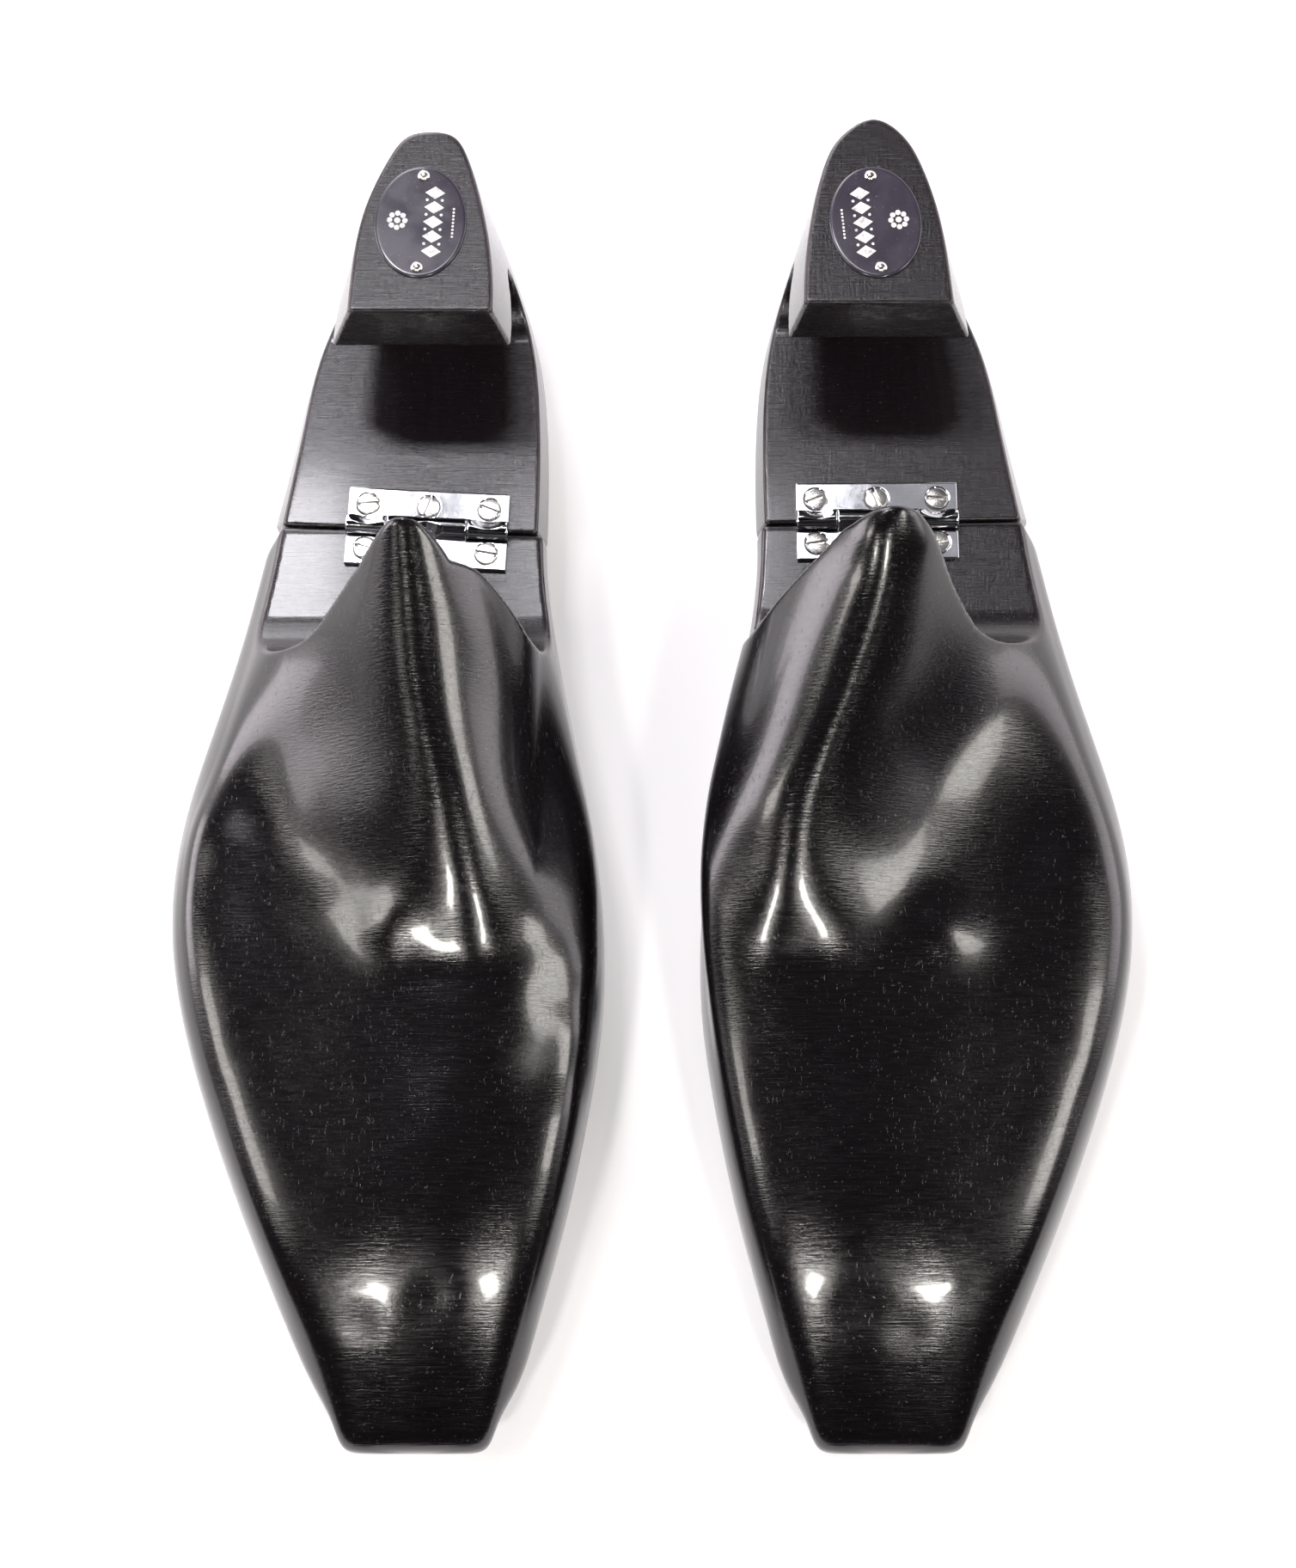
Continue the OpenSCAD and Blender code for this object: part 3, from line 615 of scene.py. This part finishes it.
def wood_material(name, gloss):
    """Black stained wood under thin lacquer: sanding streaks across, pores, specks, pale rims of wear and
    painted highlight.
    """
    n = Nodes(name)
    sawn = n.attribute("sawn")
    edge = n.attribute("edge")
    cloud = n.noise(28, 4, 0.6)
    streak = n.noise(70, 5, 0.65, at=(2.2, 40, 12))
    fine = n.noise(420, 3, 0.6, at=(0.3, 6, 2))
    grain = n.noise(130, 6, 0.75, at=(9, 0.7, 9))
    rays = n.noise(300, 3, 0.6, at=(5, 1.1, 5))
    speck = n.band(n.noise(1500, 1, 0.4), 0.72, 0.76)
    pore = n.band(n.noise(900, 2, 0.6, at=(1.6, 0.5, 1.6)), 0.36, 0.28)
    black = n.mix(cloud, rgb(0.0016, 0.0012, 0.0016), rgb(0.0046, 0.0033, 0.0044))
    brown = n.mix(grain, rgb(0.0024, 0.0018, 0.0023), rgb(0.0115, 0.0080, 0.0105))
    tone = n.mix(sawn, black, brown)
    tone = n.mix(n.math("MULTIPLY", speck, 0.12), tone, rgb(0.34, 0.32, 0.32))
    # Pale colour painted along the rims: partly worn stain, partly a painted highlight of the light-catching
    # edges.
    rim_wear_and_highlight = n.math("MULTIPLY", edge, n.band(cloud, 0.35, 0.7, 0.10, 0.55))
    tone = n.mix(rim_wear_and_highlight, tone, rgb(0.14, 0.115, 0.13))
    rough = n.math("ADD", n.band(streak, 0.3, 0.75, gloss, gloss + 0.10), n.math("MULTIPLY", sawn, 0.06))
    rough = n.math("ADD", rough, n.math("MULTIPLY", fine, 0.07))
    height = n.math("ADD", n.math("MULTIPLY", fine, 0.6), n.math("MULTIPLY", streak, 0.4))
    height = n.math("SUBTRACT", height, n.math("MULTIPLY", pore, 0.30))
    sawn_height = n.math("ADD", n.math("MULTIPLY", grain, 0.8), n.math("MULTIPLY", rays, 0.7))
    height = n.math("ADD", height, n.math("MULTIPLY", sawn_height, sawn))
    normal = n.bump(height, 0.4, 0.00018)
    return n.set(
        Base_Color=tone, Roughness=rough, Normal=normal, IOR=1.5,
        Coat_Weight=0.30, Coat_Roughness=0.09,
    )


def metal_material(name, colour, low, high, bump):
    """Bright plated metal with faint polishing marks and smudges."""
    n = Nodes(name)
    smudge = n.noise(160, 4, 0.6)
    lines = n.noise(900, 3, 0.6, at=(1, 8, 1))
    tone = n.mix(smudge, rgb(*[c * 0.86 for c in colour]), rgb(*colour))
    rough = n.math("ADD", n.band(smudge, 0.35, 0.7, low, high), n.math("MULTIPLY", lines, 0.05))
    return n.set(Base_Color=tone, Roughness=rough, Metallic=1.0, Normal=n.bump(lines, bump, 0.00004))


def enamel_material(name):
    """Glossy dark violet-grey enamel with faint smears and dust."""
    n = Nodes(name)
    smear = n.noise(120, 4, 0.6)
    dust = n.band(n.noise(2200, 1, 0.4), 0.70, 0.76)
    tone = n.mix(smear, rgb(0.028, 0.024, 0.036), rgb(0.046, 0.040, 0.058))
    tone = n.mix(n.math("MULTIPLY", dust, 0.25), tone, rgb(0.4, 0.38, 0.42))
    normal = n.bump(smear, 0.15, 0.00003)
    return n.set(
        Base_Color=tone, Roughness=n.band(smear, 0.3, 0.7, 0.16, 0.27), Normal=normal, IOR=1.5,
        Coat_Weight=0.5, Coat_Roughness=0.12)


def print_material(name):
    """Cream print on the enamel, thin in places."""
    n = Nodes(name)
    patch = n.noise(900, 3, 0.6)
    tone = n.mix(n.band(patch, 0.3, 0.55), rgb(0.42, 0.40, 0.42), rgb(0.80, 0.78, 0.76))
    return n.set(Base_Color=tone, Roughness=0.45, Normal=n.bump(patch, 0.2, 0.00002))


# --- Materials in use ---

WOOD_GLOSS = 0.11
LACQUER = wood_material("lacquered_wood", WOOD_GLOSS)
CHROME = metal_material("chrome_plate", (0.80, 0.81, 0.85), 0.03, 0.09, 0.10)
NICKEL = metal_material("nickel_plate", (0.74, 0.72, 0.69), 0.16, 0.28, 0.22)
STEEL = metal_material("plain_steel", (0.62, 0.63, 0.65), 0.20, 0.35, 0.4)
ENAMEL = enamel_material("badge_enamel")
PRINT = print_material("badge_print")


# --- Placing ---

def in_tree(points, at, yaw=0.0):
    """Points of a sub-part's own frame in its tree's coordinates."""
    c, s = math.cos(yaw), math.sin(yaw)
    x, y, z = points.T
    return np.stack([c * x - s * y, s * x + c * y, z], axis=1) + np.array(at)


def in_row(side, points, faces):
    """Points and faces of a tree in the row frame: the right tree is mirrored, so its faces turn round."""
    placed = points.copy()
    placed[:, 0] = side["sign"] * (TREE_X + points[:, 0])
    return placed, [face[::-1] for face in faces] if side["sign"] < 0 else faces


# --- Wood pieces ---

def build_wood(side_name, part, field, low, high, body, voxel):
    """A wood piece in place of its CAD node, with its sawn faces and its edges marked for the material."""
    side = SIDES[side_name]
    points, quads = surface(lambda p: field(side, p)[2], low, high, voxel)
    carved, cut, _ = field(side, points)
    sawn = ramp(cut - carved, -0.25, 0.25)
    edge = ramp(-np.abs(carved - cut), -1.2, -0.1)
    placed, faces = in_row(side, points, quads)
    piece = put(f"{side_name}_{part}_wood", placed, faces, body, [LACQUER])
    add_values(piece, sawn=sawn, edge=edge)
    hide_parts(f"{side_name}_{part}")
    return piece


for side_name in SIDES:
    build_wood(
        side_name, "forepart", forepart_field, (-46, -153, -1.5), (60, 66, 82),
        f"{side_name}_front", FOREPART_VOXEL)
    build_wood(
        side_name, "heel_block", heel_field, (-32, 60, -1.5), (40, 152, 80),
        f"{side_name}_heel", HEEL_VOXEL)


# --- Metal pieces, as implicit solids in their own frames ---

def box_field(p, low, high, r=0.0):
    """Distance to a box with edges of radius r."""
    q = np.maximum(np.array(low) + r - p, p - np.array(high) + r)
    return np.linalg.norm(np.maximum(q, 0), axis=1) + np.minimum(q.max(axis=1), 0) - r


def leaf_field(p, way):
    """A hinge leaf about its pin, with knuckles, bore and countersinks; way is -1 in front, 1 behind."""
    x, y, z = p.T
    base = FLOOR_Z - PIN_Z
    top = base + LEAF_T
    half, quarter, gap = HINGE_L / 2, HINGE_L / 4, 0.075
    near, reach = KNUCKLE_R + 0.3, HINGE_W / 2
    plate_y = sorted((way * near, way * reach))
    plate = box_field(p, (-half, plate_y[0], base), (half, plate_y[1], top), 0.22)
    web_y = sorted((0, way * (near + 0.8)))
    web = box_field(p, (-half, web_y[0], base), (half, web_y[1], top), 0.1)
    radial = np.hypot(y, z)
    roll = np.maximum(np.minimum(radial - KNUCKLE_R, web), PIN_R + 0.02 - radial)
    if way < 0:
        along = np.abs(x) - quarter + gap
    else:
        along = np.abs(np.abs(x) - 1.5 * quarter - gap / 2) - quarter / 2 + gap / 2
    leaf = np.minimum(plate, meet(roll, along, 0.5))
    for i in (-1, 0, 1):
        r = np.hypot(x - i * SCREW_PITCH, y - way * SCREW_OFFSET)
        sink = np.minimum(r - SCREW_SHANK_R - 0.15, (r - SCREW_HEAD_R - 0.16 - (z - top)) / math.sqrt(2))
        leaf = meet(leaf, -sink, 0.2)
    return leaf


def screw_field(p):
    """Slotted raised countersunk wood screw, its origin on the leaf's face."""
    x, y, z = p.T
    r = np.hypot(x, y)
    dome = z - 0.2 + 0.14 * (r / SCREW_HEAD_R) ** 2
    head = meet(np.maximum(r - SCREW_HEAD_R, (r - SCREW_HEAD_R - z) / math.sqrt(2)), dome, 0.15)
    head = np.maximum(head, -(SCREW_HEAD_R - SCREW_SHANK_R) - 0.2 - z)
    turn = z / 1.1 + np.arctan2(y, x) / (2 * math.pi)
    ridge = np.abs(2 * (turn - np.floor(turn)) - 1)
    depth = 0.32 * ridge * ramp(z, -2.5, -4)
    tip = SCREW_SHANK_R - 0.9 * ramp(z, -SCREW_L + 2, -SCREW_L - LEAF_T)
    shank = np.maximum((r - tip + depth) * 0.8, np.maximum(-SCREW_L - LEAF_T + 0.1 - z, z + 1))
    slot = np.maximum(np.abs(y) - 0.38, -0.5 - z)
    return meet(np.minimum(head, shank), -slot, 0.15)


def badge_pin_field(p):
    """Domed pin, its origin on the badge's face."""
    r = np.hypot(p[:, 0], p[:, 1])
    dome_h = 0.86
    ball_r = (BADGE_PIN_R ** 2 + dome_h ** 2) / (2 * dome_h)
    ball = np.linalg.norm(p - (0, 0, dome_h - ball_r), axis=1) - ball_r
    shank = np.maximum(r - 0.6, np.maximum(-BADGE_PIN_L - p[:, 2], p[:, 2] - 0.1))
    return np.minimum(meet(ball, 0.02 - p[:, 2], 0.2), shank)


def badge_field(p):
    """Oval plate with a softened rim and holes for its pins, its origin under its middle."""
    x, y, z = p.T
    a, b = BADGE_W / 2 - 0.02, BADGE_L / 2 - 0.02
    e = np.hypot(x / a, y / b)
    rim = (e - 1) * e / np.maximum(np.hypot(x / a ** 2, y / b ** 2), 1e-6)
    plate = meet(meet(rim, z - BADGE_T, 1.1), 0.01 - z, 0.1)
    for end in (-1, 1):
        hole = np.hypot(x, y - end * BADGE_PIN_PITCH / 2) - 0.64
        plate = np.maximum(plate, -hole)
    return plate


def ring_of(count, radius, at, squash=1.0):
    """Corners of a regular outline, squashed or stretched in x."""
    angles = np.arange(count) * 2 * math.pi / count
    return [(at[0] + squash * radius * math.cos(a), at[1] + radius * math.sin(a)) for a in angles]


def ornament_outlines():
    """Plain ornament of the badge in its own frame, x to the outer side: diamonds, dots and a rosette."""
    outlines = []
    for i in range(-2, 3):
        outlines.append(ring_of(4, 1.55, (-2.9, 3.6 * i), 1.45))
    for i in range(-1, 3):
        for x in (-4.6, -1.2):
            outlines.append(ring_of(12, 0.34, (x, 3.6 * (i - 0.5))))
    for i in range(-4, 5):
        outlines.append(ring_of(12, 0.28, (-7.4, 0.85 * i)))
    for k in range(8):
        a = k * math.pi / 4
        outlines.append(ring_of(16, 0.62, (5.2 + 1.75 * math.cos(a), 1.75 * math.sin(a))))
    outlines.append(ring_of(20, 0.7, (5.2, 0)))
    return outlines


def ornament_mesh(low, high):
    """The outlines as thin prisms between two heights."""
    points, faces = [], []
    for outline in ornament_outlines():
        start, n = len(points), len(outline)
        points += [(x, y, low) for x, y in outline] + [(x, y, high) for x, y in outline]
        faces.append([start + k for k in range(n - 1, -1, -1)])
        faces.append([start + n + k for k in range(n)])
        faces += [[start + k, start + (k + 1) % n, start + n + (k + 1) % n, start + n + k] for k in range(n)]
    return np.array(points), faces


def metal_mesh(field, low, high, voxel=METAL_VOXEL):
    """Surface of a field as points and a list of faces."""
    points, quads = surface(field, low, high, voxel)
    return points, [list(quad) for quad in quads]


LEAF_X = HINGE_L / 2 + 1
LEAF_Y = HINGE_W / 2 + 1
KNUCKLE_Y = KNUCKLE_R + 1
LEAF_LOW_Z = -3.2
LEAVES = {
    "front": (-1, metal_mesh(
        lambda p: leaf_field(p, -1), (-LEAF_X, -LEAF_Y, LEAF_LOW_Z), (LEAF_X, KNUCKLE_Y, KNUCKLE_Y))),
    "rear": (1, metal_mesh(
        lambda p: leaf_field(p, 1), (-LEAF_X, -KNUCKLE_Y, LEAF_LOW_Z), (LEAF_X, LEAF_Y, KNUCKLE_Y))),
}
SCREW = metal_mesh(screw_field, (-3.4, -3.4, -14.4), (3.4, 3.4, 0.9), SCREW_VOXEL)
BADGE_PIN = metal_mesh(badge_pin_field, (-2, -2, -5.9), (2, 2, 1.4), BADGE_PIN_VOXEL)
BADGE = metal_mesh(badge_field, (-11.2, -14.4, -0.5), (11.2, 14.4, 1.2), BADGE_VOXEL)
ORNAMENT = ornament_mesh(BADGE_T - 0.05, BADGE_T + 0.03)
# Turn of each screw's slot in degrees
SLOT_TURNS = {"front": (8, -12, 15), "rear": (20, -70, -6)}


def build_part(side_name, name, mesh, at, yaw, body, material, node=None):
    """A piece of the hinge or badge placed in its tree, instead of the CAD node if one is given."""
    side = SIDES[side_name]
    placed, faces = in_row(side, in_tree(mesh[0], at, yaw), mesh[1])
    piece = put(f"{side_name}_{name}", placed, faces, f"{side_name}_{body}", [material])
    if node:
        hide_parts(f"{side_name}_{node}")
    return piece


def build_hinge(side_name):
    """Both leaves with their screws; the CAD pin stays and gets a material."""
    side = SIDES[side_name]
    yaw = side["hinge_yaw"]
    at = (HINGE_S, HINGE_Y + side["shift"], PIN_Z)
    for leaf, (way, mesh) in LEAVES.items():
        body = "front" if way < 0 else "heel"
        name = f"{leaf}_leaf"
        build_part(side_name, f"{name}_plated", mesh, at, yaw, body, CHROME, name)
        for i, turn in enumerate(SLOT_TURNS[leaf]):
            place = ((i - 1) * SCREW_PITCH, way * SCREW_OFFSET, FLOOR_Z - PIN_Z + LEAF_T)
            screw = (in_tree(SCREW[0], place, math.radians(turn)), SCREW[1])
            name = f"{leaf}_screw_{i + 1}"
            build_part(side_name, f"{name}_plated", screw, at, yaw, body, NICKEL, name)
    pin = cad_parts[f"{side_name}_hinge_pin"]
    pin.data.materials.clear()
    pin.data.materials.append(STEEL)


def build_badge(side_name):
    """The badge with its printed ornament and both pins."""
    side = SIDES[side_name]
    yaw = side["badge_yaw"]
    at = (side["badge_s"], BADGE_Y, TOP_Z)
    build_part(side_name, "badge_enamelled", BADGE, at, yaw, "heel", ENAMEL, "badge")
    ornament = build_part(side_name, "badge_print", ORNAMENT, at, yaw, "heel", PRINT)
    ornament.data.polygons.foreach_set("use_smooth", [False] * len(ornament.data.polygons))
    for i, end in enumerate((-1, 1)):
        pin = (in_tree(BADGE_PIN[0], (0, end * BADGE_PIN_PITCH / 2, BADGE_T)), BADGE_PIN[1])
        name = f"badge_pin_{i + 1}"
        build_part(side_name, f"{name}_domed", pin, at, yaw, "heel", NICKEL, name)


for side_name in SIDES:
    build_hinge(side_name)
    build_badge(side_name)


# --- Floor, light and camera ---

WORLD_STRENGTH = 1.9
FLOOR_SIZE = 6
FLOOR_DROP = 0.0002
FLOOR_GLOW = 0.30

WARM = (1.0, 0.97, 0.92)
LILAC = (0.97, 0.955, 1.0)
PINK = (1.0, 0.93, 0.98)

# Lamps: name, location, target, width, height, power, colour
LAMPS = [
    ("key_left", (-0.42, -0.78, 1.15), (-0.05, 0, 0.04), 0.12, 0.17, 5.5, WARM),
    ("key_right", (0.42, -0.78, 1.15), (0.05, 0, 0.04), 0.12, 0.17, 5.5, WARM),
    ("back_left", (-0.34, 0.53, 1.40), (-0.34, 0.03, 0.03), 0.24, 0.13, 6, LILAC),
    ("back_middle", (0.0, 0.53, 1.40), (0, 0.03, 0.03), 0.21, 0.11, 1.3, LILAC),
    ("back_glow", (0, 0.57, 1.45), (0, 0.06, 0.03), 1.20, 0.16, 0.22, LILAC),
    ("back_wall", (-0.37, 1.10, 0.70), (-0.37, 0.04, 0.04), 0.50, 1.00, 9, LILAC),
    ("left_high", (-0.95, -0.12, 0.95), (-0.05, -0.03, 0.03), 0.26, 0.30, 3.2, WARM),
    ("right_high", (0.95, -0.12, 0.95), (0.05, -0.03, 0.03), 0.30, 0.34, 4.2, WARM),
    ("left_low", (-1.20, 0.32, 0.42), (-0.05, 0.32, 0.03), 0.66, 0.50, 6.5, PINK),
    ("right_low", (1.20, 0.32, 0.42), (0.05, 0.32, 0.03), 0.66, 0.50, 2.6, PINK),
]


def build_floor():
    """Plain pale floor that glows a little, as a paper sweep lit from all sides does."""
    n = Nodes("paper_floor")
    weave = n.noise(700, 2, 0.5)
    tone = n.mix(n.noise(9, 3, 0.5), rgb(0.86, 0.85, 0.86), rgb(0.90, 0.89, 0.90))
    material = n.set(
        Base_Color=tone, Roughness=0.9, Normal=n.bump(weave, 0.2, 0.0002),
        Emission_Color=rgb(1.0, 0.97, 0.99), Emission_Strength=FLOOR_GLOW)
    bpy.ops.mesh.primitive_plane_add(size=FLOOR_SIZE, location=(0, 0, -FLOOR_DROP))
    floor = bpy.context.object
    floor.name = "floor"
    floor.data.materials.append(material)


def build_world():
    """White surround behind the object and at its sides, with a dark ceiling and a dark front."""
    world = bpy.data.worlds.new("studio")
    bpy.context.scene.world = world
    world.use_nodes = True
    tree = world.node_tree
    tree.nodes.clear()
    out = tree.nodes.new("ShaderNodeOutputWorld")
    back = tree.nodes.new("ShaderNodeBackground")
    place = tree.nodes.new("ShaderNodeTexCoord")
    split = tree.nodes.new("ShaderNodeSeparateXYZ")
    tree.links.new(place.outputs["Generated"], split.inputs[0])

    def fade(value, low, high, to_low, to_high):
        node = tree.nodes.new("ShaderNodeMapRange")
        node.interpolation_type = "SMOOTHSTEP"
        for key, number in zip(("From Min", "From Max", "To Min", "To Max"), (low, high, to_low, to_high)):
            node.inputs[key].default_value = number
        tree.links.new(value, node.inputs["Value"])
        return node.outputs[0]

    height = fade(split.outputs["Z"], 0.15, 0.70, 1.0, 0.02)
    front = fade(split.outputs["Y"], -0.22, 0.04, 0.02, 1.0)
    light = tree.nodes.new("ShaderNodeMath")
    light.operation = "MULTIPLY"
    tree.links.new(height, light.inputs[0])
    tree.links.new(front, light.inputs[1])
    strong = tree.nodes.new("ShaderNodeMath")
    strong.operation = "MULTIPLY"
    strong.inputs[1].default_value = WORLD_STRENGTH
    tree.links.new(light.outputs[0], strong.inputs[0])
    tree.links.new(strong.outputs[0], back.inputs["Strength"])
    back.inputs["Color"].default_value = (1.0, 0.965, 0.985, 1)
    tree.links.new(back.outputs[0], out.inputs["Surface"])


def area_light(name, location, target, size_x, size_y, power, colour):
    """A rectangular lamp aimed at a target."""
    data = bpy.data.lights.new(name, "AREA")
    data.shape = "RECTANGLE"
    data.size = size_x
    data.size_y = size_y
    data.energy = power
    data.color = colour
    light = bpy.data.objects.new(name, data)
    bpy.context.scene.collection.objects.link(light)
    light.location = location
    light.rotation_euler = (Vector(target) - Vector(location)).to_track_quat("-Z", "Y").to_euler()


def build_camera():
    """Camera above and in front of the toes, tilted 15 degrees from straight down."""
    data = bpy.data.cameras.new("camera")
    data.sensor_fit = "VERTICAL"
    data.sensor_height = 36
    data.lens = 67.56
    data.clip_start = 0.01
    camera = bpy.data.objects.new("camera", data)
    bpy.context.scene.collection.objects.link(camera)
    camera.location = (-0.001, -0.1754, 0.687)
    camera.rotation_euler = (math.radians(15), 0, 0)
    bpy.context.scene.camera = camera


build_floor()
build_world()
for lamp in LAMPS:
    area_light(*lamp)
build_camera()
bpy.context.scene.view_settings.view_transform = "Standard"
